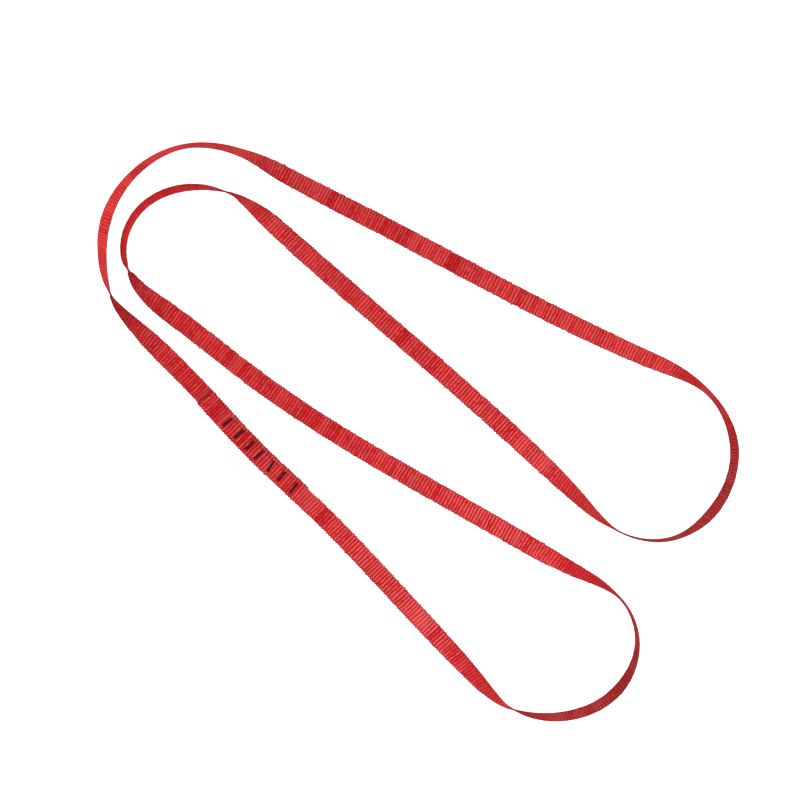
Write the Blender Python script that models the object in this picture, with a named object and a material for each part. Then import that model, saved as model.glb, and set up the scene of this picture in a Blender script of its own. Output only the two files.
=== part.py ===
"""Sewn webbing anchor sling: one flat tape closed into a loop by a lap joint with seven bar tacks.

The sling lies on a surface as it was laid down: straight runs flat, bends turned up on edge.
Lengths are in metres, +Z is up and the surface that the sling lies on is z = 0.
"""
import math

import bmesh
import bpy
import numpy as np
from mathutils import Matrix, Vector

# Tape
LOOP_LENGTH = 2.400
TAPE_WIDTH = 0.0155
TAPE_THICKNESS = 0.0015
EDGE_BEVEL = 0.0004

# Sewn lap
LAP_LENGTH = 0.108
LAP_RUN_OUT = 0.030
LAP_RISE_RUN = 0.070
LAP_SIDE_STEP = 0.0010

# Bar tacks and their thread
THREAD_DIAMETER = 0.0005
TACK_COUNT = 7
TACK_LENGTH = 0.0095
TACK_BREADTH = 0.0030
TACK_LEGS = 12
TACK_PITCH = 0.0122
TACK_INSET = 0.0081
TACK_SIDE_STEP = 0.0004
JUMP_BOW = 0.0007
STITCH_HOLE_SIDES = 6

# Clearances
SEAT_GAP = 0.0003
FLOOR_GAP = 0.0001
CUT_OVERRUN = 0.0010

# Mesh fineness
ROUTE_SAMPLES = 6000
FIT_PASSES = 4
RING_STEP = 0.026
RING_TURN = math.radians(9.0)
THREAD_BEVEL_RESOLUTION = 1
SHARP_EDGE_ANGLE = math.radians(30.0)

# How far each tack sits from its even place, in shares of the pitch, and how it leans across the tape
TACK_DRIFT_SHARES = (0.0, 0.07, 0.08, -0.09, -0.02, -0.09, 0.0)
TACK_LEAN_DEGREES = (-2.0, 0.0, 2.0, -2.0, 11.0, 4.0, 5.0)

# The loop as it lies, from the tape's hidden end round to it again. Each row is a point chosen by hand:
# x and y in thousandths of the loop's length, roll in degrees and lift in shares of the tape's width.
# Roll 0 is the tape flat with one face up, -90 on edge, -180 flat with the other face up.
ROUTE_SHARES = (
    (-37.9, -20.6, -180, 0.00),
    (-50.6, -8.6, -180, 0.00),
    (-78.6, 21.1, -177, 0.00),
    (-91.6, 34.0, -128, 0.00),
    (-98.8, 42.7, -93, 0.00),
    (-101.9, 53.8, -66, 0.10),
    (-100.5, 69.2, -56, 0.25),
    (-90.7, 84.1, -66, 0.20),
    (-75.2, 92.0, -76, 0.05),
    (-57.9, 90.1, -65, 0.00),
    (-44.0, 83.4, -30, 0.00),
    (-8.8, 65.1, -12, 0.00),
    (32.4, 43.4, -10, 0.00),
    (74.9, 23.0, -33, 0.00),
    (94.7, 11.2, -76, 0.05),
    (101.8, -5.4, -63, 0.25),
    (96.2, -24.0, -56, 0.28),
    (81.6, -34.7, -80, 0.10),
    (65.4, -32.7, -89, 0.00),
    (52.6, -22.5, -56, 0.00),
    (29.2, -0.2, -14, 0.00),
    (-11.6, 35.8, -6, 0.00),
    (-46.6, 66.5, -26, 0.00),
    (-60.4, 76.6, -88, 0.00),
    (-77.5, 78.2, -111, 0.15),
    (-90.7, 70.6, -114, 0.20),
    (-95.1, 56.3, -108, 0.05),
    (-90.8, 47.2, -64, 0.00),
    (-80.2, 38.0, -14, 0.00),
    (-50.9, 15.5, 0, 0.00),
    (-15.0, -7.8, 0, 0.00),
    (30.1, -33.6, -13, 0.00),
    (52.0, -45.7, -56, 0.00),
    (65.4, -54.3, -85, 0.00),
    (70.6, -68.0, -80, 0.10),
    (62.7, -84.9, -54, 0.30),
    (44.8, -92.1, -62, 0.20),
    (28.7, -88.9, -92, 0.00),
    (17.8, -79.1, -135, 0.00),
    (1.8, -62.0, -163, 0.00),
)
ROUTE_UNIT_SHARE = 0.001

# The webbing's red and the thread's dark maroon, as linear colour
WEBBING_COLOUR = (0.560, 0.045, 0.042, 1.0)
THREAD_COLOUR = (0.127, 0.006, 0.010, 1.0)
WEBBING_ROUGHNESS = 0.62
THREAD_ROUGHNESS = 0.50

# Worked out from the sizes above
LAYER_STEP = TAPE_THICKNESS + SEAT_GAP
LAP_FACE_HEIGHT = LAYER_STEP / 2 + TAPE_THICKNESS / 2
LAP_LIFT = SEAT_GAP + THREAD_DIAMETER + FLOOR_GAP + LAYER_STEP / 2
STITCH_HOLE_RADIUS = THREAD_DIAMETER / 2 + SEAT_GAP


def clear_scene():
    for item in list(bpy.data.objects):
        bpy.data.objects.remove(item, do_unlink=True)


def make_material(name, colour, roughness):
    material = bpy.data.materials.new(name)
    material.use_nodes = True
    shader = material.node_tree.nodes["Principled BSDF"]
    shader.inputs["Base Color"].default_value = colour
    shader.inputs["Roughness"].default_value = roughness
    shader.inputs["Metallic"].default_value = 0.0
    material.diffuse_color = colour
    return material


def tape_section():
    """Corners of the flat tape's cross section, across its width and through its thickness."""
    half_width = TAPE_WIDTH / 2
    half_thickness = TAPE_THICKNESS / 2
    return (
        (half_width, half_thickness - EDGE_BEVEL),
        (half_width - EDGE_BEVEL, half_thickness),
        (EDGE_BEVEL - half_width, half_thickness),
        (-half_width, half_thickness - EDGE_BEVEL),
        (-half_width, EDGE_BEVEL - half_thickness),
        (EDGE_BEVEL - half_width, -half_thickness),
        (half_width - EDGE_BEVEL, -half_thickness),
        (half_width, EDGE_BEVEL - half_thickness),
    )


def smooth_step(value):
    value = np.clip(value, 0.0, 1.0)
    return value * value * (3 - 2 * value)


def closed_curve_slopes(steps, values):
    """Slopes at the points of the closed curve whose bending changes smoothly."""
    count = len(steps)
    rises = np.roll(values, -1, axis=0) - values
    matrix = np.zeros((count, count))
    right = np.zeros_like(values)
    for i in range(count):
        before, after = steps[i - 1], steps[i]
        matrix[i, i - 1] += after
        matrix[i, i] += 2 * (before + after)
        matrix[i, (i + 1) % count] += before
        right[i] = 3 * (after * rises[i - 1] / before + before * rises[i] / after)
    return np.linalg.solve(matrix, right)


def steady_slopes(steps, values):
    """Slopes at the points that never carry the curve past a point's own value."""
    gradients = (np.roll(values, -1) - values) / steps
    slopes = np.zeros_like(values)
    for i in range(len(values)):
        before, after = gradients[i - 1], gradients[i]
        if before * after > 0:
            slopes[i] = 2 * before * after / (before + after)
    return slopes


def follow(steps, values, slopes, places):
    """Values of the closed curve at the places, each a point's number plus a share of its step."""
    first = np.floor(places).astype(int) % len(steps)
    second = (first + 1) % len(steps)
    part = places - np.floor(places)
    step = steps[first]
    if values.ndim > 1:
        part = part[:, None]
        step = step[:, None]
    return (
        values[first] * (1 + 2 * part) * (1 - part) ** 2
        + slopes[first] * step * part * (1 - part) ** 2
        + values[second] * part ** 2 * (3 - 2 * part)
        - slopes[second] * step * part ** 2 * (1 - part)
    )


def lay_route():
    """Closely spaced places along the closed loop: distance, centre, heading, roll."""
    table = np.array(ROUTE_SHARES, dtype=float)
    plan = table[:, :2]
    steps = np.linalg.norm(np.roll(plan, -1, axis=0) - plan, axis=1)
    fine = len(table) * np.arange(ROUTE_SAMPLES) / ROUTE_SAMPLES
    plan = follow(steps, plan, closed_curve_slopes(steps, plan), fine)
    roll = np.radians(follow(steps, table[:, 2], steady_slopes(steps, table[:, 2]), fine))
    lift = TAPE_WIDTH * follow(steps, table[:, 3], steady_slopes(steps, table[:, 3]), fine)
    section = np.array(tape_section())
    foot = np.max(-np.outer(np.sin(roll), section[:, 0]) - np.outer(np.cos(roll), section[:, 1]), axis=1)
    scale = LOOP_LENGTH * ROUTE_UNIT_SHARE
    for _ in range(FIT_PASSES):
        centre = np.column_stack((plan * scale, foot + lift))
        hops = np.linalg.norm(np.roll(centre, -1, axis=0) - centre, axis=1)
        distance = np.concatenate(([0.0], np.cumsum(hops)[:-1]))
        scale *= LOOP_LENGTH / hops.sum()
    halfway = (LOOP_LENGTH + LAP_LENGTH) / 2
    past_lap = np.where(distance > halfway, LOOP_LENGTH - distance, distance - LAP_LENGTH)
    centre[:, 2] += LAP_LIFT * (1 - smooth_step((past_lap - LAP_RUN_OUT) / LAP_RISE_RUN))
    heading = np.roll(centre, -1, axis=0) - np.roll(centre, 1, axis=0)
    heading /= np.linalg.norm(heading, axis=1)[:, None]
    reach = (TAPE_WIDTH * np.abs(np.cos(roll)) + TAPE_THICKNESS * np.abs(np.sin(roll))) / 2
    left = np.column_stack((-heading[:, 1], heading[:, 0])) * reach[:, None]
    edges = np.concatenate((centre[:, :2] + left, centre[:, :2] - left))
    centre[:, :2] -= (edges.max(axis=0) + edges.min(axis=0)) / 2
    return distance, centre, heading, roll


def read_route(route, along):
    """Centre, heading, left and up directions and roll at a distance along the loop."""
    distance, centres, headings, rolls = route
    spot = along % LOOP_LENGTH
    closed = np.append(distance, LOOP_LENGTH)
    centre = Vector([np.interp(spot, closed, np.append(centres[:, k], centres[0, k])) for k in range(3)])
    heading = Vector([np.interp(spot, closed, np.append(headings[:, k], headings[0, k])) for k in range(3)])
    heading.normalize()
    left = Vector((-heading.y, heading.x, 0)).normalized()
    up = heading.cross(left)
    roll = float(np.interp(spot, closed, np.append(rolls, rolls[0])))
    return centre, heading, left, up, roll


def tape_place(route, along):
    """Centre, width direction and face direction of the tape, which starts at its hidden end."""
    centre, _, left, up, roll = read_route(route, along)
    across = left * math.cos(roll) + up * math.sin(roll)
    face = up * math.cos(roll) - left * math.sin(roll)
    lower = 1 - smooth_step((along - LAP_LENGTH) / LAP_RUN_OUT)
    upper = smooth_step((along - LOOP_LENGTH + LAP_RUN_OUT) / LAP_RUN_OUT)
    layer = float(upper - lower) / 2
    return centre - face * (layer * LAYER_STEP) - across * (layer * LAP_SIDE_STEP), across, face


def ring_distances(route):
    """Where the tape's cross sections stand: close together where it bends or rolls."""
    distance, _, heading, roll = route
    turn = np.linalg.norm(np.roll(heading, -1, axis=0) - heading, axis=1)
    roll_change = np.abs(np.roll(roll, -1) - roll)
    length = np.diff(np.append(distance, LOOP_LENGTH))
    weight = length / RING_STEP + (turn + roll_change) / RING_TURN
    tally = np.concatenate(([0.0], np.cumsum(weight)))
    lap_tally = np.interp(LAP_LENGTH, np.append(distance, LOOP_LENGTH), tally)
    total = tally[-1] + lap_tally
    marks = np.linspace(0.0, total, math.ceil(total) + 1)
    twice = np.concatenate((np.append(distance, LOOP_LENGTH), distance[1:] + LOOP_LENGTH))
    tally_twice = np.concatenate((tally, tally[1:-1] + tally[-1]))
    return np.interp(marks, tally_twice, twice)


def make_webbing(route, material):
    """The whole tape as one strip, its two ends lapped."""
    section = tape_section()
    form = bmesh.new()
    rings = []
    for along in ring_distances(route):
        centre, across, face = tape_place(route, along)
        rings.append([form.verts.new(centre + across * x + face * y) for x, y in section])
    for first, second in zip(rings, rings[1:]):
        for i in range(len(section)):
            j = (i + 1) % len(section)
            form.faces.new((first[i], first[j], second[j], second[i]))
    form.faces.new(tuple(reversed(rings[0])))
    form.faces.new(tuple(rings[-1]))
    bmesh.ops.recalc_face_normals(form, faces=form.faces)
    mesh = bpy.data.meshes.new("webbing")
    form.to_mesh(mesh)
    form.free()
    mesh.shade_smooth()
    mesh.set_sharp_from_angle(angle=SHARP_EDGE_ANGLE)
    webbing = bpy.data.objects.new("webbing", mesh)
    webbing.data.materials.append(material)
    bpy.context.scene.collection.objects.link(webbing)
    return webbing


def tack_distance(number):
    """Distance of a tack's middle from the hidden end; tack 1 is next to the end that shows."""
    even = TACK_INSET + (TACK_COUNT - 1 - number) * TACK_PITCH
    return even - TACK_DRIFT_SHARES[number] * TACK_PITCH


def tack_frame(route, number):
    """The middle of the lap under a tack: X along the tape, Y across, Z up."""
    centre, heading, left, up, _ = read_route(route, tack_distance(number))
    turn = Matrix((heading, left, up)).transposed().to_4x4()
    lean = Matrix.Rotation(math.radians(TACK_LEAN_DEGREES[number]), 4, "Z")
    return Matrix.Translation(centre + left * TACK_SIDE_STEP) @ turn @ lean


def make_tack_place(route, number):
    place = bpy.data.objects.new(f"tack_{number + 1}_place", None)
    place.matrix_world = tack_frame(route, number)
    bpy.context.scene.collection.objects.link(place)
    return place


def tack_thread_path():
    """The thread of one bar: up through the lap, to and fro across the face, and down again."""
    reach = (TACK_BREADTH - THREAD_DIAMETER) / 2
    half = (TACK_LENGTH - THREAD_DIAMETER) / 2
    pitch = 2 * half / (TACK_LEGS - 1)
    height = LAP_FACE_HEIGHT + SEAT_GAP + THREAD_DIAMETER / 2
    knot = SEAT_GAP / 2
    path = [(-reach, half, knot)]
    for leg in range(TACK_LEGS):
        side = 1 if leg % 2 else -1
        place = half - leg * pitch
        outer = side * reach if leg == 0 else side * (reach - pitch / 2)
        inner = side * reach if leg == TACK_LEGS - 1 else side * (reach - pitch / 2)
        path.append((outer, place, height))
        path.append((-inner, place, height))
        if leg < TACK_LEGS - 1:
            path.append((-side * reach, place - pitch / 2, height))
    path[-1] = (-reach, -half, height)
    path.append((-reach, -half, knot))
    return path


def make_thread_curve(name, path):
    curve = bpy.data.curves.new(name, "CURVE")
    curve.dimensions = "3D"
    curve.bevel_depth = THREAD_DIAMETER / 2
    curve.bevel_resolution = THREAD_BEVEL_RESOLUTION
    curve.render_resolution_u = 0
    curve.use_fill_caps = True
    spline = curve.splines.new("POLY")
    spline.points.add(len(path) - 1)
    for point, place in zip(spline.points, path):
        point.co = (*place, 1.0)
    return curve


def add_thread(name, curve, place, underside, material):
    """A thread on its tack: the bobbin's is the needle's turned over about the tape's length."""
    thread = bpy.data.objects.new(name, curve)
    thread.parent = place
    if underside:
        thread.rotation_euler = (math.pi, 0.0, 0.0)
    if not curve.materials:
        curve.materials.append(material)
    bpy.context.scene.collection.objects.link(thread)
    return thread


def jump_path(route, number, underside):
    """The slack thread from one tack's end to the next one's, bowed towards the tape's edge."""
    start, finish = tack_distance(number), tack_distance(number + 1)
    middle = (start + finish) / 2
    centre, heading, left, up, _ = read_route(route, middle)
    free = abs(finish - start) / 2 - TACK_BREADTH / 2 - SEAT_GAP - THREAD_DIAMETER / 2
    side = TACK_SIDE_STEP - (TACK_LENGTH - THREAD_DIAMETER) / 2
    height = LAP_FACE_HEIGHT + SEAT_GAP + THREAD_DIAMETER / 2
    path = []
    for share in (-1.0, -0.5, 0.0, 0.5, 1.0):
        bow = JUMP_BOW * (1 - share * share)
        rise = -height if underside else height
        path.append(centre + heading * (share * free) + left * (side - bow) + up * rise)
    return path


def make_hole_cutter(route):
    """Prisms through both layers, where each bar's thread goes in and comes out."""
    reach = (TACK_BREADTH - THREAD_DIAMETER) / 2
    half = (TACK_LENGTH - THREAD_DIAMETER) / 2
    form = bmesh.new()
    for number in range(TACK_COUNT):
        for side in (-half, half):
            spot = tack_frame(route, number) @ Matrix.Translation((-reach, side, 0.0))
            bmesh.ops.create_cone(
                form,
                cap_ends=True,
                segments=STITCH_HOLE_SIDES,
                radius1=STITCH_HOLE_RADIUS,
                radius2=STITCH_HOLE_RADIUS,
                depth=2 * (LAP_FACE_HEIGHT + CUT_OVERRUN),
                matrix=spot,
            )
    mesh = bpy.data.meshes.new("stitch_hole_cutter")
    form.to_mesh(mesh)
    form.free()
    cutter = bpy.data.objects.new("stitch_hole_cutter", mesh)
    cutter.hide_render = True
    cutter.display_type = "WIRE"
    bpy.context.scene.collection.objects.link(cutter)
    return cutter


def build_sling():
    clear_scene()
    route = lay_route()
    red = make_material("webbing_red", WEBBING_COLOUR, WEBBING_ROUGHNESS)
    needle = make_material("needle_thread", THREAD_COLOUR, THREAD_ROUGHNESS)
    bobbin = make_material("bobbin_thread", THREAD_COLOUR, THREAD_ROUGHNESS)
    webbing = make_webbing(route, red)
    holes = webbing.modifiers.new("stitch_holes", "BOOLEAN")
    holes.operation = "DIFFERENCE"
    holes.object = make_hole_cutter(route)
    needle_bar = make_thread_curve("needle_bar", tack_thread_path())
    bobbin_bar = make_thread_curve("bobbin_bar", tack_thread_path())
    for number in range(TACK_COUNT):
        place = make_tack_place(route, number)
        add_thread(f"needle_thread_{number + 1}", needle_bar, place, False, needle)
        add_thread(f"bobbin_thread_{number + 1}", bobbin_bar, place, True, bobbin)
    for number in range(TACK_COUNT - 1):
        for word, underside, material in (("needle", False, needle), ("bobbin", True, bobbin)):
            name = f"{word}_jump_{number + 1}"
            curve = make_thread_curve(name, jump_path(route, number, underside))
            add_thread(name, curve, None, False, material)
    bpy.context.view_layer.update()


build_sling()
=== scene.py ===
"""Looks of the sewn webbing sling: ribbed red tape, heat-cut ends, bar tacks and a plain studio.

Lengths are in metres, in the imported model's frame: +Z is up and the sling lies on z = 0.
"""

import math

import bpy
import numpy as np
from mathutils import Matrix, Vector


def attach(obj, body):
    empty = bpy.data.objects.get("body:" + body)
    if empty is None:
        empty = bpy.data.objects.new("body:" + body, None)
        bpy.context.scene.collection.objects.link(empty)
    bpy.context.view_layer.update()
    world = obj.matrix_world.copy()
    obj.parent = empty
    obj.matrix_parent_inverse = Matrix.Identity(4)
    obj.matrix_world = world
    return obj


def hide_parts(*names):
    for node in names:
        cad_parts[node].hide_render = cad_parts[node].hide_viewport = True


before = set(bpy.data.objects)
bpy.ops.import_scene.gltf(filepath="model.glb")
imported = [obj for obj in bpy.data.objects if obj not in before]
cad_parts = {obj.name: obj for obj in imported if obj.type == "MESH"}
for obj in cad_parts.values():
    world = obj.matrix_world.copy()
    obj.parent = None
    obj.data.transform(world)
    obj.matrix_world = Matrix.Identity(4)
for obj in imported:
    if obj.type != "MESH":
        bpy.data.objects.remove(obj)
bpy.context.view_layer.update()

# Tape, lap and tacks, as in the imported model
LOOP_LENGTH = 2.400
TAPE_WIDTH = 0.0155
TAPE_THICKNESS = 0.0015
LAP_LENGTH = 0.108
LAP_RUN_OUT = 0.030
LAP_RISE_RUN = 0.070
LAP_SIDE_STEP = 0.0010
LAYER_STEP = 0.0018
LAP_FACE_HEIGHT = 0.00165
LAP_LIFT = 0.0018
TACK_COUNT = 7
TACK_LENGTH = 0.0095
TACK_BREADTH = 0.0030
TACK_PITCH = 0.0122
TACK_INSET = 0.0081
TACK_SIDE_STEP = 0.0004
TACK_DRIFT_SHARES = (0.0, 0.07, 0.08, -0.09, -0.02, -0.09, 0.0)
TACK_LEAN_DEGREES = (-2.0, 0.0, 2.0, -2.0, 11.0, 4.0, 5.0)
JUMP_BOW = 0.0007
TAPE_LENGTH = LOOP_LENGTH + LAP_LENGTH

# The tape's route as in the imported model, from its hidden end: x, y, roll in degrees, lift
ROUTE = (
    (-0.09121, -0.04936, -180, 0.00000),
    (-0.12191, -0.02036, -180, 0.00000),
    (-0.18958, 0.05142, -177, 0.00000),
    (-0.22099, 0.08260, -128, 0.00000),
    (-0.23839, 0.10362, -93, 0.00000),
    (-0.24589, 0.13045, -66, 0.00155),
    (-0.24250, 0.16767, -56, 0.00387),
    (-0.21882, 0.20368, -66, 0.00310),
    (-0.18136, 0.22277, -76, 0.00078),
    (-0.13955, 0.21818, -65, 0.00000),
    (-0.10596, 0.20199, -30, 0.00000),
    (-0.02089, 0.15776, -12, 0.00000),
    (0.07868, 0.10532, -10, 0.00000),
    (0.18140, 0.05601, -33, 0.00000),
    (0.22925, 0.02750, -76, 0.00078),
    (0.24641, -0.01262, -63, 0.00387),
    (0.23287, -0.05757, -56, 0.00434),
    (0.19759, -0.08343, -80, 0.00155),
    (0.15844, -0.07860, -89, 0.00000),
    (0.12750, -0.05395, -56, 0.00000),
    (0.07095, -0.00005, -14, 0.00000),
    (-0.02765, 0.08695, -6, 0.00000),
    (-0.11224, 0.16114, -26, 0.00000),
    (-0.14559, 0.18555, -88, 0.00000),
    (-0.18692, 0.18942, -111, 0.00232),
    (-0.21882, 0.17105, -114, 0.00310),
    (-0.22945, 0.13649, -108, 0.00078),
    (-0.21906, 0.11450, -64, 0.00000),
    (-0.19344, 0.09227, -14, 0.00000),
    (-0.12263, 0.03789, 0, 0.00000),
    (-0.03587, -0.01842, 0, 0.00000),
    (0.07313, -0.08077, -13, 0.00000),
    (0.12605, -0.11002, -56, 0.00000),
    (0.15844, -0.13080, -85, 0.00000),
    (0.17101, -0.16391, -80, 0.00155),
    (0.15191, -0.20475, -54, 0.00465),
    (0.10865, -0.22215, -62, 0.00310),
    (0.06974, -0.21442, -92, 0.00000),
    (0.04340, -0.19074, -135, 0.00000),
    (0.00473, -0.14941, -163, 0.00000),
)
ROUTE_SAMPLES = 6000

# Section of the tape: spots on a face and round an edge, in shares of its half width and half thickness
FACE_SPOTS = (-0.86, -0.62, -0.37, -0.125, 0.125, 0.37, 0.62, 0.86)
EDGE_SPOTS = ((0.955, 0.66), (1.0, 0.24), (1.0, -0.24), (0.955, -0.66))
EDGE_THINNING = 0.10
EDGE_THINNING_POWER = 6

# Ribs of the weave, with heights in shares of an even rib's
RIB_PITCH = 0.00259
RIB_DEPTH = 0.00031
RIB_PHASES = (0.0, 0.25, 0.5, 0.75)
RIB_HEIGHTS = (0.0, 0.74, 1.0, 0.74)
MOST_RIB_HEIGHT = 1.25
MOST_SHADED_HEIGHT = 1.3

# Edges of the tape: the ribs end in them, and their rim of painted shade is fainter in the lap
SELVEDGE_DIP = 0.00062
MOST_SELVEDGE_HEIGHT = 1.1
LEVEL_SELVEDGE = 0.75
SELVEDGE_BAND = 0.2
RIM_BAND = 0.1
LAP_RIM = 0.45

# Unevenness of the weave
SEED = 24
PITCH_SPREAD = 0.07
HEIGHT_SPREAD = 0.15
STREAK_SPREAD = 0.16
SKEW_SPREAD = 0.00012
BOW_SPREAD = 0.00010
SELVEDGE_SPREAD = 0.00012
TILT_SPREAD = math.radians(1.4)
TILT_REACH = 14
TONE_REACH = 2

# Bends, where the tape stands on edge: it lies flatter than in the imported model, its ribs slant and sink
BEND_EASE = math.radians(6.0)
EASE_TURN = 0.2
BEND_SLANT = 6.0
MOST_SLANT = 0.32
BEND_CALM = 0.72
CALM_HEIGHT = 0.60

# Heat-cut ends: distances from the end, and the thickness and width there in shares of the tape's
MELT_LENGTH = 0.0020
# The lower layer is darker under the lap and for a short way beyond the top layer's cut end: a melt smear
# with painted shadow of the top layer
SMEAR_AND_SHADOW_LENGTH = 0.0042
MELT_STEPS = (0.0, 0.00012, 0.0004, 0.0009, 0.0014, 0.0018)
MELT_THICKNESS = (0.35, 0.72, 0.98, 0.96, 0.80, 0.66)
MELT_WIDTH = (0.94, 0.975, 0.985, 0.98, 0.97, 0.965)
MELT_RIB_HEIGHT = 0.5

# Map of the tape's skin for baked textures: strips side by side, with the two cut ends above them
MAP_STRIPS = 9
MAP_STRIP_SHARE = 0.94
MAP_STRIP_MARGIN = 0.03
MAP_STRIP_TOP = 0.97
MAP_CAP_CENTRE = (0.5, 0.985)
MAP_CAP_REACH = (0.1, 0.006)
MAP_CAP_STEP = (0.25, 0.0)

# Threads of the bar tacks; the side of a thread that goes straight up or down is given
THREAD_WIDTH = 0.00045
THREAD_SIDES = 9
LEAST_SIDE = 1e-6
UPRIGHT_SIDE = (1.0, 0.0, 0.0)
PLIES = 3
PLY_DEPTH = 0.13
PLY_TWIST = 0.0011
TACK_LEGS = 23
LEG_STEPS = 13
LEG_SINK = 0.00050
LEG_ARCH = 0.00060
LEG_ARCH_POWER = 5
LEG_REACH_SPREAD = 0.06
LEG_ARCH_SPREAD = 0.12
LEG_SLANT_SPREAD = 0.00004
TACK_PULL = 0.00034
TACK_PULL_REACH = 0.0013
JUMP_STEPS = 60
JUMP_SINKS = (0.00016, 0.00030, 0.00026, 0.00018, 0.00028, 0.00030)
JUMP_DIP_SHARE = 0.25

# Colours of the webbing, and how far two of them cover what is below
# Painted shade: the valley red darkens the hollows between the ribs, and the colour runs to the crest red
# as the rib height rises
VALLEY_SHADE_RED = (0.345, 0.003, 0.006, 1.0)
CREST_RED = (0.600, 0.008, 0.009, 1.0)
# Painted shade on the tape's rounded edges
SELVEDGE_SHADE_RED = (0.170, 0.008, 0.014, 1.0)
MELT_RED = (0.290, 0.004, 0.008, 1.0)
# Melt smear and painted shadow on the lower layer, under and just beyond the top layer's cut end
SMEAR_AND_SHADOW_RED = (0.300, 0.008, 0.014, 1.0)
SELVEDGE_SHADE_COVER = 0.90
SMEAR_AND_SHADOW_COVER = 0.8

# Grain of the webbing: steps of noise per metre across, along and through the tape, and what it does
FINE_DETAIL = 3.0
FINE_ROUGHNESS = 0.6
STREAK_GRAIN = (260.0, 900.0, 1.0)
STREAK_LIFT = 0.9
TONE_LIFT = 0.10
MOST_SHARE = 1.2
CLOUD_GRAIN = (60.0, 60.0, 1.0)
CLOUD_SHADE = 0.30
CLOUD_ROUGHNESS = 0.10
YARN_PITCH = 0.00042
YARN_GRAIN = (500.0, 250.0, 1.0)
YARN_WANDER = 5.0
YARN_BUMP = 0.3
YARN_DEPTH = 0.00005
FUZZ_GRAIN = (4000.0, 4000.0, 4000.0)
FUZZ_HEIGHT = 0.35

# Gloss of the webbing: crests are smoother than valleys, and only they carry the clear coat
VALLEY_ROUGHNESS = 0.80
CREST_SMOOTHING = 0.56
SMOOTHING_RATE = 1.5
GRAZING_ROUGHNESS = 0.60
GLOSS_LEVEL = 0.9
GLOSS_RED = (1.0, 0.14, 0.15, 1.0)
COAT_START = 0.5
COAT_RATE = 2.4
COAT_GRAZING_LOSS = 1.5
COAT_ROUGHNESS = 0.32
COAT_IOR = 1.62

# Look of the sewing thread: its lighter flecks are random and also stand for painted highlights on the
# plies
THREAD_DARK = (0.050, 0.0018, 0.0030, 1.0)
THREAD_FLECK_AND_HIGHLIGHT = (0.210, 0.008, 0.012, 1.0)
FLECK_SCALE = 1900.0
FLECK_START = 0.46
FLECK_FULL = 0.70
FIBRE_SCALE = 9000.0
FIBRE_BUMP = 0.4
FIBRE_DEPTH = 0.00003
THREAD_ROUGHNESS = 0.36
FLECK_ROUGHNESS = 0.20
THREAD_GLOSS = 0.12
THREAD_SHEEN = 0.02
THREAD_SHEEN_ROUGHNESS = 0.5

# Studio: camera, floor, and the sky's lobes as direction, sharpness and strength
CAMERA_PLACE = (-0.0141, 0.0248, 2.2)
VIEW_WIDTH = 0.6263
SENSOR_WIDTH = 36.0
WHITE = (1.0, 1.0, 1.0, 1.0)
FLOOR_REACH = 4.0
FLOOR_DROP = 0.0002
FLOOR_SHADE = 0.80
FLOOR_ROUGHNESS = 0.9
FLOOR_GLOW = 0.92
SKY_MOST = 4.0
SKY_LOBES = (
    ((0.0, 1.0, 0.0), 6.0, 1.82),
    ((0.0, 0.707, 0.707), 12.0, 0.95),
    ((-0.612, -0.612, 0.5), 12.0, 1.84),
)

# Softboxes: name, place, the place that each one faces, side and power in watts
SOFTBOXES = (
    ("top_softbox", (0.16, -0.08, 0.45), (0.14, -0.07, 0.0), 0.3, 0.44),
    ("back_softbox", (0.30, 0.10, 0.45), (0.12, -0.06, 0.0), 0.3, 0.56),
    ("front_softbox", (-0.02, -0.24, 0.45), (0.10, -0.06, 0.0), 0.3, 0.47),
    ("left_softbox", (-0.55, 0.22, 0.32), (-0.23, 0.14, 0.0), 0.2, 0.99),
)

random = np.random.default_rng(SEED)


# Route of the tape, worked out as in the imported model

def smooth_step(value):
    """An even S-curve that stays 0 below 0 and 1 above 1."""
    value = np.clip(value, 0.0, 1.0)
    return value * value * (3 - 2 * value)


def closed_curve_slopes(steps, values):
    """Slopes at the points of the closed curve whose bending changes smoothly."""
    count = len(steps)
    rises = np.roll(values, -1, axis=0) - values
    matrix = np.zeros((count, count))
    right = np.zeros_like(values)
    for i in range(count):
        before, after = steps[i - 1], steps[i]
        matrix[i, i - 1] += after
        matrix[i, i] += 2 * (before + after)
        matrix[i, (i + 1) % count] += before
        right[i] = 3 * (after * rises[i - 1] / before + before * rises[i] / after)
    return np.linalg.solve(matrix, right)


def steady_slopes(steps, values):
    """Slopes at the points that never carry the curve past a point's own value."""
    gradients = (np.roll(values, -1) - values) / steps
    slopes = np.zeros_like(values)
    for i in range(len(values)):
        before, after = gradients[i - 1], gradients[i]
        if before * after > 0:
            slopes[i] = 2 * before * after / (before + after)
    return slopes


def follow(steps, values, slopes, places):
    """Values of the closed curve at the places, each a point's number plus a share of its step."""
    first = np.floor(places).astype(int) % len(steps)
    second = (first + 1) % len(steps)
    part = places - np.floor(places)
    step = steps[first]
    if values.ndim > 1:
        part = part[:, None]
        step = step[:, None]
    return (
        values[first] * (1 + 2 * part) * (1 - part) ** 2
        + slopes[first] * step * part * (1 - part) ** 2
        + values[second] * part ** 2 * (3 - 2 * part)
        - slopes[second] * step * part ** 2 * (1 - part)
    )


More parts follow.
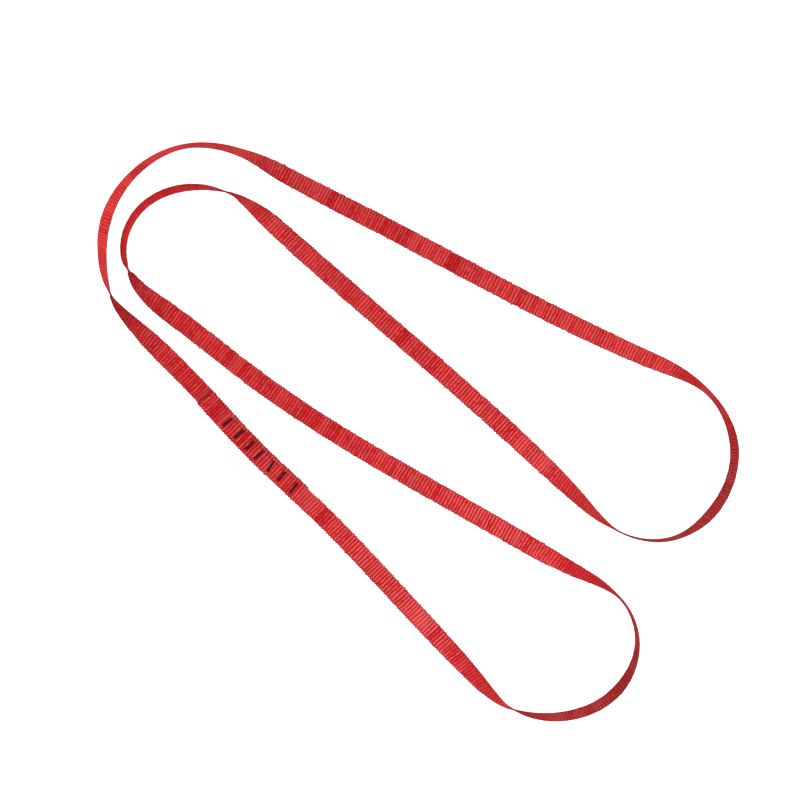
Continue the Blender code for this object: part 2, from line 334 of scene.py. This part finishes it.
def lay_route():
    """Closely spaced places along the closed loop: distance, centre, heading, roll."""
    table = np.array(ROUTE, dtype=float)
    plan = table[:, :2]
    steps = np.linalg.norm(np.roll(plan, -1, axis=0) - plan, axis=1)
    fine = len(table) * np.arange(ROUTE_SAMPLES) / ROUTE_SAMPLES
    plan = follow(steps, plan, closed_curve_slopes(steps, plan), fine)
    roll = np.radians(follow(steps, table[:, 2], steady_slopes(steps, table[:, 2]), fine))
    lift = follow(steps, table[:, 3], steady_slopes(steps, table[:, 3]), fine)
    foot = (TAPE_WIDTH * np.abs(np.sin(roll)) + TAPE_THICKNESS * np.abs(np.cos(roll))) / 2
    centre = np.column_stack((plan, foot + lift))
    hops = np.linalg.norm(np.roll(centre, -1, axis=0) - centre, axis=1)
    distance = np.concatenate(([0.0], np.cumsum(hops)[:-1])) * LOOP_LENGTH / hops.sum()
    past_middle = distance > TAPE_LENGTH / 2
    past_lap = np.where(past_middle, LOOP_LENGTH - distance, distance - LAP_LENGTH)
    centre[:, 2] += LAP_LIFT * (1 - smooth_step((past_lap - LAP_RUN_OUT) / LAP_RISE_RUN))
    heading = np.roll(centre, -1, axis=0) - np.roll(centre, 1, axis=0)
    heading /= np.linalg.norm(heading, axis=1)[:, None]
    return distance, centre, heading, roll


def read_route(route, along):
    """Centre, heading, left and up directions and roll at distances along the loop."""
    distance, centres, headings, rolls = route
    spot = np.atleast_1d(along) % LOOP_LENGTH
    closed = np.append(distance, LOOP_LENGTH)

    def read(values):
        return np.interp(spot, closed, np.append(values, values[0]))

    centre = np.column_stack([read(centres[:, k]) for k in range(3)])
    heading = np.column_stack([read(headings[:, k]) for k in range(3)])
    heading /= np.linalg.norm(heading, axis=1)[:, None]
    left = np.column_stack((-heading[:, 1], heading[:, 0], np.zeros(len(spot))))
    left /= np.linalg.norm(left, axis=1)[:, None]
    return centre, heading, left, np.cross(heading, left), read(rolls)


def tape_places(route, along, turn):
    """Centre, heading, width direction and face direction of the tape, from its hidden end."""
    centre, heading, left, up, roll = read_route(route, along)
    roll = roll + turn
    cosine, sine = np.cos(roll)[:, None], np.sin(roll)[:, None]
    sideways = left * cosine + up * sine
    outwards = up * cosine - left * sine
    lower = 1 - smooth_step((along - LAP_LENGTH) / LAP_RUN_OUT)
    upper = smooth_step((along - LOOP_LENGTH + LAP_RUN_OUT) / LAP_RUN_OUT)
    layer = ((upper - lower) / 2)[:, None]
    centre = centre - outwards * (layer * LAYER_STEP) - sideways * (layer * LAP_SIDE_STEP)
    return centre, heading, sideways, outwards


def free_share(along):
    """How freely the tape lies, from 0 in the sewn lap to 1 away from it."""
    past = np.minimum(along - LAP_LENGTH, LOOP_LENGTH - along)
    return smooth_step(past / LAP_RISE_RUN)


def bend_ease(roll):
    """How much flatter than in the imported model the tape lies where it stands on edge, in radians."""
    return BEND_EASE * np.abs(np.sin(roll)) * np.clip(np.cos(roll) / EASE_TURN, -1.0, 1.0)


def tack_distance(number):
    """Distance of a tack's middle from the hidden end; tack 1 is next to the end that shows."""
    even = TACK_INSET + (TACK_COUNT - 1 - number) * TACK_PITCH
    return even - TACK_DRIFT_SHARES[number] * TACK_PITCH


# Meshes

def tube_faces(rings, sides, flipped):
    """Faces of a closed tube made of rings of points: quads round it and a cap at each end.

    Rings whose points run the other way round need their faces flipped to face outwards.
    """
    first = np.arange((rings - 1) * sides)
    second = first - first % sides + (first + 1) % sides
    quads = np.column_stack((first, first + sides, second + sides, second))
    start = np.arange(sides)
    end = start[::-1] + (rings - 1) * sides
    if flipped:
        quads = quads[:, [0, 3, 2, 1]]
        start = start[::-1]
        end = end[::-1]
    return quads.tolist() + [start.tolist(), end.tolist()]


def add_values(mesh, name, values):
    """One number for each point of the mesh, for its material."""
    layer = mesh.attributes.new(name, "FLOAT", "POINT")
    layer.data.foreach_set("value", np.asarray(values, np.float32).ravel())


def add_places(mesh, name, places):
    """One place for each point of the mesh, for its material."""
    layer = mesh.attributes.new(name, "FLOAT_VECTOR", "POINT")
    layer.data.foreach_set("vector", np.asarray(places, np.float32).ravel())


def add_object(name, mesh, material):
    """The mesh as an object of the scene, with its material."""
    thing = bpy.data.objects.new(name, mesh)
    mesh.materials.append(material)
    bpy.context.scene.collection.objects.link(thing)
    return thing


# The woven tape

def smooth_random(count, spread, reach=1):
    """Seeded random values that change gently from one to the next."""
    raw = random.normal(0.0, 1.0, count + 2 * reach)
    window = np.hanning(2 * reach + 3)[1:-1]
    window /= np.linalg.norm(window)
    return spread * np.convolve(raw, window, mode="valid")


def lay_ribs():
    """The rings of the woven part: distance, rib height and rib number, and the count of ribs."""
    woven = TAPE_LENGTH - 2 * MELT_LENGTH
    count = round(woven / RIB_PITCH)
    pitches = 1 + PITCH_SPREAD * random.normal(0.0, 1.0, count)
    starts = np.concatenate(([0.0], np.cumsum(pitches)))
    starts = MELT_LENGTH + starts * woven / starts[-1]
    swell = 1 + HEIGHT_SPREAD * random.normal(0.0, 1.0, count)
    along, height, rib = [], [], []
    for i in range(count):
        for phase, rise in zip(RIB_PHASES, RIB_HEIGHTS):
            along.append(starts[i] + phase * (starts[i + 1] - starts[i]))
            height.append(rise * swell[i])
            rib.append(i + phase)
    along.append(starts[-1])
    height.append(0.0)
    rib.append(float(count))
    return np.array(along), np.array(height), np.array(rib), count


def add_end_rings(along, height, rib, rib_count):
    """The same three rows with the rings of the heat-cut ends before and after them."""
    steps = np.array(MELT_STEPS)
    end = len(steps)
    along = np.concatenate((steps, along, TAPE_LENGTH - steps[::-1]))
    height = np.pad(height, end, constant_values=MELT_RIB_HEIGHT)
    rib = np.concatenate((np.zeros(end), rib, np.full(end, float(rib_count))))
    return along, height, rib


def melted_rings(rings):
    """Which rings belong to the heat-cut ends."""
    number = np.arange(rings)
    return np.minimum(number, number[::-1]) < len(MELT_STEPS)


def end_profile(rings, values):
    """The values on the first rings and, the other way round, on the last ones, with 1 between."""
    profile = np.ones(rings)
    profile[:len(values)] = values
    profile[-len(values):] = values[::-1]
    return profile


def tape_section():
    """Places round the tape's section, in shares of its half width and half thickness."""
    face = np.array(FACE_SPOTS)
    edge = np.array(EDGE_SPOTS)
    upper_face = np.column_stack((face, np.ones(len(face))))
    lower_face = np.column_stack((face[::-1], -np.ones(len(face))))
    return np.concatenate((upper_face, edge, lower_face, -edge))


def near_edge(spots, band):
    """How near each spot is to the tape's edges, from 0 to 1 over the band next to them."""
    return smooth_step((np.abs(spots[:, 0]) - (1 - band)) / band)


def draw_weave(rib, rib_count, sides):
    """The weave's unevenness at each ring: skew, bow, streaks, edge tips, tilt and tone."""
    count = rib_count + 1
    numbers = np.arange(count)
    own = np.clip(rib.astype(int), 0, rib_count)
    skew = np.interp(rib, numbers, smooth_random(count, SKEW_SPREAD))
    bow = np.interp(rib, numbers, smooth_random(count, BOW_SPREAD))
    streak = 1 + STREAK_SPREAD * random.normal(0.0, 1.0, (count, sides))
    tips = SELVEDGE_SPREAD * random.normal(0.0, 1.0, (count, 2))
    tilt = np.interp(rib, numbers, smooth_random(count, TILT_SPREAD, TILT_REACH))
    tone = smooth_random(count, 1.0, TONE_REACH)
    return skew, bow, streak[own], tips[own], tilt, tone[own]


def skin_shape(rise, tips, spots):
    """How far each point of the skin lies across the tape and through it from its middle."""
    rings = len(rise)
    melted = melted_rings(rings)[:, None]
    half_width, half_thickness = TAPE_WIDTH / 2, TAPE_THICKNESS / 2

    woven = half_thickness - RIB_DEPTH * (1 - np.clip(rise, 0.0, MOST_RIB_HEIGHT))
    bead = half_thickness * end_profile(rings, MELT_THICKNESS)[:, None]
    thinning = 1 - EDGE_THINNING * np.abs(spots[:, 0]) ** EDGE_THINNING_POWER
    through = np.where(melted, bead, woven) * spots[:, 1] * thinning

    ragged = SELVEDGE_DIP * (np.clip(rise, 0.0, MOST_SELVEDGE_HEIGHT) ** 2 - LEVEL_SELVEDGE)
    wide = np.where(melted, half_width, half_width + ragged)
    wide = wide * end_profile(rings, MELT_WIDTH)[:, None]
    tips = np.where(spots[:, 0] > 0, tips[:, :1], tips[:, 1:])
    tips = np.where(melted, 0.0, tips)
    across = (wide + tips * near_edge(spots, SELVEDGE_BAND)) * spots[:, 0]
    return across, through


def tack_pull(along, across):
    """How far the tacks draw the face in, from 0 to 1, at each ring and place across the tape."""
    spot = np.where(along > LOOP_LENGTH - LAP_RUN_OUT, along - LOOP_LENGTH, along)
    pull = np.zeros(across.shape)
    for number in range(TACK_COUNT):
        past_length = np.abs(across) - TACK_LENGTH / 2
        past_breadth = np.abs(spot - tack_distance(number))[:, None] - TACK_BREADTH / 2
        gap = np.hypot(np.clip(past_length, 0.0, None), np.clip(past_breadth, 0.0, None))
        pull = np.maximum(pull, np.exp(-((gap / TACK_PULL_REACH) ** 2)))
    return pull


def draw_in(along, across, through):
    """The skin's places through the tape once the tacks have drawn the lap's outer faces in."""
    upper = along[:, None] > LOOP_LENGTH - LAP_RUN_OUT
    outside = np.where(upper, through < 0, through > 0)
    pull = np.where(outside, TACK_PULL * tack_pull(along, across), 0.0)
    return through - np.sign(through) * pull


def mark_tape(mesh, along, spots, rise, tone, cloth):
    """What the webbing's material reads at each point of the skin."""
    sides = len(spots)
    melted = melted_rings(len(along)).astype(float)
    # Melt smear with painted shadow: full under the lap, fading out past the top layer's cut end
    smear_and_shadow = smooth_step((LAP_LENGTH + SMEAR_AND_SHADOW_LENGTH - along) / SMEAR_AND_SHADOW_LENGTH)
    rim = LAP_RIM + (1 - LAP_RIM) * free_share(along)
    add_values(mesh, "rib_height", np.clip(rise, 0.0, MOST_SHADED_HEIGHT))
    add_values(mesh, "rib_tone", np.repeat(tone, sides))
    add_values(mesh, "melt", np.repeat(melted, sides))
    add_values(mesh, "smear_and_shadow", np.repeat(smear_and_shadow, sides))
    # Painted shade along the edges, fainter in the lap
    add_values(mesh, "selvedge_shade", np.outer(rim, near_edge(spots, RIM_BAND)))
    add_places(mesh, "cloth", cloth)


def add_strip_map(mesh, along, spots):
    """A map that lays the tape's skin out as parallel strips, for textures baked from the material."""
    hops = len(along) - 1
    per_strip = math.ceil(hops / MAP_STRIPS)
    strip = np.arange(hops) // per_strip
    strip_starts = along[np.minimum(np.arange(MAP_STRIPS) * per_strip, hops)]
    longest = max(np.diff(np.append(strip_starts, along[-1])))
    round_share = np.linspace(0.0, 1.0, len(spots) + 1)
    u = (strip[:, None] + MAP_STRIP_MARGIN + MAP_STRIP_SHARE * round_share) / MAP_STRIPS
    u0, u1 = u[:, :-1], u[:, 1:]
    v0 = MAP_STRIP_TOP * (along[:-1] - strip_starts[strip]) / longest
    v1 = MAP_STRIP_TOP * (along[1:] - strip_starts[strip]) / longest
    v0 = np.broadcast_to(v0[:, None], u0.shape)
    v1 = np.broadcast_to(v1[:, None], u0.shape)
    corners = np.stack((u0, v0, u0, v1, u1, v1, u1, v0), axis=-1).reshape(-1, 2)
    cap = spots * MAP_CAP_REACH + MAP_CAP_CENTRE
    places = np.concatenate((corners, cap, cap[::-1] + MAP_CAP_STEP))
    layer = mesh.uv_layers.new(name="OFBake")
    layer.data.foreach_set("uv", places.astype(np.float32).ravel())


def make_tape(route, material):
    """The whole tape as one closed skin: ribs, edges, heat-cut ends and the pull of the tacks."""
    along, height, rib, rib_count = lay_ribs()
    along, height, rib = add_end_rings(along, height, rib, rib_count)
    spots = tape_section()
    rings, sides = len(along), len(spots)
    skew, bow, streak, tips, tilt, tone = draw_weave(rib, rib_count, sides)

    _, route_heading, _, _, roll = read_route(route, along)
    free = free_share(along)
    stand = free * np.sin(roll) ** 2
    slant = stand * np.clip(BEND_SLANT * route_heading[:, 2], -MOST_SLANT, MOST_SLANT)
    rise = height[:, None] * streak
    # Where the tape stands on edge its ribs sink, so the painted valley shade, read from their height,
    # evens out there too
    rise += (CALM_HEIGHT - rise) * BEND_CALM * stand[:, None]

    across, through = skin_shape(rise, tips, spots)
    shift = skew[:, None] * spots[:, 0] + bow[:, None] * (1 - spots[:, 0] ** 2)
    shift = np.where(melted_rings(rings)[:, None], 0.0, shift + slant[:, None] * across)
    through = draw_in(along, across, through)

    turn = (tilt + bend_ease(roll)) * free
    centre, heading, sideways, outwards = tape_places(route, along, turn)
    points = (
        centre[:, None, :]
        + heading[:, None, :] * shift[:, :, None]
        + sideways[:, None, :] * across[:, :, None]
        + outwards[:, None, :] * through[:, :, None]
    ).reshape(-1, 3)
    mesh = bpy.data.meshes.new("sling_tape")
    mesh.from_pydata(points.tolist(), [], tube_faces(rings, sides, flipped=False))
    mesh.shade_smooth()

    cloth = np.stack((across, np.repeat(along[:, None], sides, axis=1), through), axis=-1)
    mark_tape(mesh, along, spots, rise, tone, cloth)
    add_strip_map(mesh, along, spots)
    return add_object("sling_tape", mesh, material), centre


# Threads

def thread_mesh(name, path):
    """A twisted three-ply thread along the path, closed at both ends."""
    steps = np.linalg.norm(np.diff(path, axis=0), axis=1)
    travelled = np.concatenate(([0.0], np.cumsum(steps)))
    heading = np.gradient(path, axis=0)
    heading /= np.linalg.norm(heading, axis=1)[:, None]
    side = np.cross(heading, (0.0, 0.0, 1.0))
    length = np.linalg.norm(side, axis=1)[:, None]
    side = np.where(length > LEAST_SIDE, side / np.maximum(length, LEAST_SIDE), UPRIGHT_SIDE)
    for i in range(1, len(side)):
        if np.dot(side[i], side[i - 1]) < 0:
            side[i] = -side[i]
    lift = np.cross(side, heading)
    angle = 2 * math.pi * np.arange(THREAD_SIDES) / THREAD_SIDES
    twist = 2 * math.pi * travelled / PLY_TWIST
    ply_turn = PLIES * (angle[None, :] - twist[:, None] / PLIES)
    radius = THREAD_WIDTH / 2 * (1 - PLY_DEPTH * (0.5 - 0.5 * np.cos(ply_turn)))
    points = (
        path[:, None, :]
        + side[:, None, :] * (radius * np.cos(angle))[:, :, None]
        + lift[:, None, :] * (radius * np.sin(angle))[:, :, None]
    ).reshape(-1, 3)
    mesh = bpy.data.meshes.new(name)
    mesh.from_pydata(points.tolist(), [], tube_faces(len(path), THREAD_SIDES, flipped=True))
    mesh.shade_smooth()
    return mesh


def add_thread(name, path, node, material):
    """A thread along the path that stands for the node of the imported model."""
    thread = add_object(name, thread_mesh(name, path), material)
    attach(thread, "root")
    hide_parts(node)


def tack_path():
    """A bar tack's thread: close legs to and fro across the bar, each one sunk at its ends."""
    reach = (TACK_BREADTH - THREAD_WIDTH) / 2
    half = (TACK_LENGTH - THREAD_WIDTH) / 2
    pitch = 2 * half / (TACK_LEGS - 1)
    base = LAP_FACE_HEIGHT - TACK_PULL
    jitter = random.normal(0.0, 1.0, (TACK_LEGS, 3))
    path = []
    for leg in range(TACK_LEGS):
        way = 1 if leg % 2 else -1
        place = half - leg * pitch
        leg_reach = reach * (1 + LEG_REACH_SPREAD * jitter[leg, 0])
        arch = LEG_ARCH * (1 + LEG_ARCH_SPREAD * jitter[leg, 1])
        for step in range(LEG_STEPS):
            share = 2 * step / (LEG_STEPS - 1) - 1
            height = base - LEG_SINK + (LEG_SINK + arch) * (1 - abs(share) ** LEG_ARCH_POWER)
            slant = pitch * (0.5 + share / 2) + LEG_SLANT_SPREAD * jitter[leg, 2]
            path.append((way * share * leg_reach, place - slant, height))
    return np.array(path)


def add_tack(route, number, material, underside):
    """One bar tack on the lap; the bobbin's side is the needle's turned over about the tape's length."""
    word = "bobbin" if underside else "needle"
    centre, heading, left, up, _ = read_route(route, tack_distance(number))
    lean = math.radians(TACK_LEAN_DEGREES[number])
    lengthways = heading[0] * math.cos(lean) + left[0] * math.sin(lean)
    aside = left[0] * math.cos(lean) - heading[0] * math.sin(lean)
    turn = -1 if underside else 1
    path = tack_path()
    places = (
        centre[0]
        + left[0] * TACK_SIDE_STEP
        + path[:, :1] * lengthways
        + turn * path[:, 1:2] * aside
        + turn * path[:, 2:] * up[0]
    )
    name = f"{word}_tack_{number + 1}"
    add_thread(name, places, f"{word}_thread_{number + 1}", material)


def add_jump(route, number, material, underside):
    """The slack thread from one tack to the next one, drawn into the ribs."""
    word = "bobbin" if underside else "needle"
    start, end = tack_distance(number), tack_distance(number + 1)
    shares = np.linspace(-1.0, 1.0, JUMP_STEPS)
    centre, _, left, up, _ = read_route(route, (start + end) / 2 + shares * (end - start) / 2)
    side = TACK_SIDE_STEP - (TACK_LENGTH - THREAD_WIDTH) / 2 - JUMP_BOW * (1 - shares ** 2)
    dip = smooth_step((np.abs(shares) - (1 - JUMP_DIP_SHARE)) / JUMP_DIP_SHARE)
    height = LAP_FACE_HEIGHT - JUMP_SINKS[number] - TACK_PULL * dip
    turn = -1 if underside else 1
    places = centre + left * side[:, None] + up * (turn * height)[:, None]
    name = f"{word}_run_{number + 1}"
    add_thread(name, places, f"{word}_jump_{number + 1}", material)


# Materials

class Graph:
    """The node tree of a material or world, with short calls that add and link nodes."""

    def __init__(self, owner, shader="Principled BSDF"):
        owner.use_nodes = True
        self.tree = owner.node_tree
        self.shader = self.tree.nodes[shader]

    def put(self, node, key, value):
        """Links a socket to the node's input, or sets the input to a plain value."""
        if isinstance(value, bpy.types.NodeSocket):
            self.tree.links.new(value, node.inputs[key])
        else:
            node.inputs[key].default_value = value

    def shade(self, inputs):
        """Links or sets the shader's own sockets."""
        for key, value in inputs.items():
            self.put(self.shader, key, value)

    def add(self, kind, inputs=(), **settings):
        """A new node with its settings and inputs."""
        node = self.tree.nodes.new(kind)
        for key, value in settings.items():
            setattr(node, key, value)
        for key, value in dict(inputs).items():
            self.put(node, key, value)
        return node

    def attribute(self, name, output="Fac"):
        """What the mesh holds under the name."""
        return self.add("ShaderNodeAttribute", attribute_name=name).outputs[output]

    def math(self, operation, first, second=0.0, third=0.0):
        """The outcome of one sum."""
        inputs = {0: first, 1: second, 2: third}
        return self.add("ShaderNodeMath", inputs, operation=operation).outputs[0]

    def mix(self, share, first, second, blend="MIX"):
        """Two colours mixed or multiplied; the node's colour sockets are inputs 6 and 7 and output 2."""
        inputs = {0: share, 6: first, 7: second}
        return self.add("ShaderNodeMix", inputs, data_type="RGBA", blend_type=blend).outputs[2]

    def noise(self, place, scale, detail=2.0, roughness=0.5):
        """Soft noise from 0 to 1 at the place."""
        inputs = {"Vector": place, "Scale": scale, "Detail": detail, "Roughness": roughness}
        return self.add("ShaderNodeTexNoise", inputs).outputs["Fac"]

    def grain(self, place, steps, detail=2.0, roughness=0.5):
        """Noise with its own number of steps per metre in each direction."""
        stretched = self.add("ShaderNodeMapping", {"Vector": place, "Scale": steps})
        return self.noise(stretched.outputs["Vector"], 1.0, detail, roughness)

    def bump(self, height, strength, distance):
        """The normal of a surface with that height."""
        inputs = {"Height": height, "Strength": strength, "Distance": distance}
        return self.add("ShaderNodeBump", inputs).outputs["Normal"]


def webbing_colour(graph, share, clouds, melt):
    """Red that runs from the painted shade of the valleys to the crests with the share, with clouds,
    painted shade along the edges, a melt smear with painted shadow under and beyond the top layer, and
    duller melts.
    """
    # Painted shade: the valleys are darker than the crests in the colour itself
    colour = graph.mix(share, VALLEY_SHADE_RED, CREST_RED)
    shade = graph.math("MULTIPLY_ADD", clouds, CLOUD_SHADE, 1 - CLOUD_SHADE / 2)
    grey = graph.add("ShaderNodeCombineColor", {"Red": shade, "Green": shade, "Blue": shade})
    colour = graph.mix(1.0, colour, grey.outputs[0], "MULTIPLY")
    # Painted shade along the rounded edges
    rim = graph.math("MULTIPLY", graph.attribute("selvedge_shade"), SELVEDGE_SHADE_COVER)
    colour = graph.mix(rim, colour, SELVEDGE_SHADE_RED)
    # Melt smear with painted shadow of the top layer on the lower layer
    smear_and_shadow = graph.math("MULTIPLY", graph.attribute("smear_and_shadow"), SMEAR_AND_SHADOW_COVER)
    colour = graph.mix(smear_and_shadow, colour, SMEAR_AND_SHADOW_RED)
    return graph.mix(melt, colour, MELT_RED)


def webbing_yarns(graph, cloth, melt):
    """The normal of fuzzy yarns that run along the tape; the melted ends have none."""
    across = graph.add("ShaderNodeSeparateXYZ", {"Vector": cloth}).outputs["X"]
    wander = graph.math("MULTIPLY", graph.grain(cloth, YARN_GRAIN), YARN_WANDER)
    turn = graph.math("MULTIPLY_ADD", across, 2 * math.pi / YARN_PITCH, wander)
    yarn = graph.math("MULTIPLY_ADD", graph.math("SINE", turn), 0.5, 0.5)
    height = graph.math("MULTIPLY_ADD", graph.grain(cloth, FUZZ_GRAIN), FUZZ_HEIGHT, yarn)
    height = graph.math("MULTIPLY", height, graph.math("SUBTRACT", 1.0, melt))
    return graph.bump(height, YARN_BUMP, YARN_DEPTH)


def webbing_roughness(graph, share, clouds, facing):
    """Roughness that falls from valley to crest and rises where the surface turns away."""
    valley = graph.math("MULTIPLY_ADD", clouds, CLOUD_ROUGHNESS, VALLEY_ROUGHNESS)
    smooth = graph.math("MINIMUM", graph.math("MULTIPLY", share, SMOOTHING_RATE), 1.0)
    roughness = graph.math("MULTIPLY_ADD", smooth, -CREST_SMOOTHING, valley)
    return graph.math("MULTIPLY_ADD", facing, GRAZING_ROUGHNESS, roughness)


def webbing_coat(graph, share, facing):
    """Weight of the clear coat: on the crests only, and less where the surface turns away."""
    crest = graph.math("MULTIPLY_ADD", share, COAT_RATE, -COAT_RATE * COAT_START)
    crest = graph.math("MINIMUM", graph.math("MAXIMUM", crest, 0.0), 1.0)
    upright = graph.math("MULTIPLY_ADD", facing, -COAT_GRAZING_LOSS, 1.0)
    return graph.math("MULTIPLY", crest, graph.math("MAXIMUM", upright, 0.0))


def make_webbing_material():
    """Ribbed nylon: bright crests, valleys deepened with painted shade, fine yarns along the tape and
    edges darkened with painted shade.
    """
    material = bpy.data.materials.new("webbing_weave")
    graph = Graph(material)
    cloth = graph.attribute("cloth", "Vector")
    melt = graph.attribute("melt")
    streaks = graph.grain(cloth, STREAK_GRAIN, FINE_DETAIL, FINE_ROUGHNESS)
    clouds = graph.grain(cloth, CLOUD_GRAIN)
    lift = graph.math("MULTIPLY_ADD", streaks, STREAK_LIFT, -STREAK_LIFT / 2)
    share = graph.math("ADD", graph.attribute("rib_height"), lift)
    share = graph.math("MULTIPLY_ADD", graph.attribute("rib_tone"), TONE_LIFT, share)
    share = graph.math("MINIMUM", graph.math("MAXIMUM", share, 0.0), MOST_SHARE)
    facing = graph.add("ShaderNodeLayerWeight").outputs["Facing"]
    graph.shade({
        "Base Color": webbing_colour(graph, share, clouds, melt),
        "Normal": webbing_yarns(graph, cloth, melt),
        "Roughness": webbing_roughness(graph, share, clouds, facing),
        "Specular IOR Level": GLOSS_LEVEL,
        "Specular Tint": GLOSS_RED,
        "Coat Weight": webbing_coat(graph, share, facing),
        "Coat Roughness": COAT_ROUGHNESS,
        "Coat IOR": COAT_IOR,
    })
    return material


def make_thread_material(name):
    """Bonded sewing thread: dark maroon with lighter flecks, random spots that also serve as painted
    highlights.
    """
    material = bpy.data.materials.new(name)
    graph = Graph(material)
    place = graph.add("ShaderNodeTexCoord").outputs["Object"]
    flecks = graph.noise(place, FLECK_SCALE, FINE_DETAIL, FINE_ROUGHNESS)
    fleck_range = {"Value": flecks, "From Min": FLECK_START, "From Max": FLECK_FULL}
    fleck = graph.add("ShaderNodeMapRange", fleck_range).outputs[0]
    graph.shade({
        # Lighter flecks: random tone that partly paints the thread's highlights
        "Base Color": graph.mix(fleck, THREAD_DARK, THREAD_FLECK_AND_HIGHLIGHT),
        "Normal": graph.bump(graph.noise(place, FIBRE_SCALE), FIBRE_BUMP, FIBRE_DEPTH),
        "Roughness": graph.math("MULTIPLY_ADD", flecks, FLECK_ROUGHNESS, THREAD_ROUGHNESS),
        "Specular IOR Level": THREAD_GLOSS,
        "Sheen Weight": THREAD_SHEEN,
        "Sheen Roughness": THREAD_SHEEN_ROUGHNESS,
    })
    return material


def make_floor_material():
    """Matt near-white that glows for the camera only: it shows as white and lights nothing."""
    material = bpy.data.materials.new("floor_white")
    graph = Graph(material)
    seen = graph.add("ShaderNodeLightPath").outputs["Is Camera Ray"]
    graph.shade({
        "Base Color": (FLOOR_SHADE, FLOOR_SHADE, FLOOR_SHADE, 1.0),
        "Roughness": FLOOR_ROUGHNESS,
        "Specular IOR Level": 0.0,
        "Emission Color": WHITE,
        "Emission Strength": graph.math("MULTIPLY", seen, FLOOR_GLOW),
    })
    return material


# Studio

def make_camera():
    """The photo's camera, straight overhead."""
    data = bpy.data.cameras.new("photo_camera")
    data.sensor_width = SENSOR_WIDTH
    data.lens = SENSOR_WIDTH * CAMERA_PLACE[2] / VIEW_WIDTH
    camera = bpy.data.objects.new("photo_camera", data)
    camera.location = CAMERA_PLACE
    bpy.context.scene.collection.objects.link(camera)
    bpy.context.scene.camera = camera


def make_floor():
    """A near-white table that keeps the sling's shadow."""
    corners = [(FLOOR_REACH * x, FLOOR_REACH * y, 0.0) for x, y in ((-1, -1), (1, -1), (1, 1), (-1, 1))]
    mesh = bpy.data.meshes.new("floor")
    mesh.from_pydata(corners, [], [(0, 1, 2, 3)])
    floor = add_object("floor", mesh, make_floor_material())
    floor.location.z = -FLOOR_DROP


def make_world():
    """A soft sky, brighter towards the back and the left front; the camera itself sees plain white."""
    world = bpy.data.worlds.new("studio")
    graph = Graph(world, "Background")
    way = graph.add("ShaderNodeTexCoord").outputs["Generated"]
    level = 0.0
    for centre, sharpness, strength in SKY_LOBES:
        facing = graph.add("ShaderNodeVectorMath", {0: way, 1: centre}, operation="DOT_PRODUCT")
        share = graph.math("MULTIPLY_ADD", facing.outputs["Value"], 0.5, 0.5)
        level = graph.math("MULTIPLY_ADD", graph.math("POWER", share, sharpness), strength, level)
    seen = graph.add("ShaderNodeLightPath").outputs["Is Camera Ray"]
    most = graph.math("MULTIPLY_ADD", seen, 1.0 - SKY_MOST, SKY_MOST)
    level = graph.math("MINIMUM", graph.math("MAXIMUM", level, seen), most)
    graph.shade({"Color": WHITE, "Strength": level})
    bpy.context.scene.world = world


def add_softbox(name, place, target, size, power):
    """A square lamp at the place that faces the target."""
    data = bpy.data.lights.new(name, "AREA")
    data.shape = "SQUARE"
    data.size = size
    data.energy = power
    lamp = bpy.data.objects.new(name, data)
    lamp.location = place
    aim = Vector(np.array(target) - np.array(place))
    lamp.rotation_mode = "QUATERNION"
    lamp.rotation_quaternion = aim.to_track_quat("-Z", "Y")
    bpy.context.scene.collection.objects.link(lamp)


def build_scene():
    """The studio, then the tape as a cord and the threads of its bar tacks."""
    make_camera()
    make_floor()
    make_world()
    for name, place, target, size, power in SOFTBOXES:
        add_softbox(name, place, target, size, power)
    bpy.context.scene.view_settings.view_transform = "Standard"

    route = lay_route()
    tape, centre = make_tape(route, make_webbing_material())
    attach(tape, "root")
    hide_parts("webbing")
    needle = make_thread_material("needle_twist")
    bobbin = make_thread_material("bobbin_twist")
    for number in range(TACK_COUNT):
        add_tack(route, number, needle, underside=False)
        add_tack(route, number, bobbin, underside=True)
    for number in range(TACK_COUNT - 1):
        add_jump(route, number, needle, underside=False)
        add_jump(route, number, bobbin, underside=True)


build_scene()
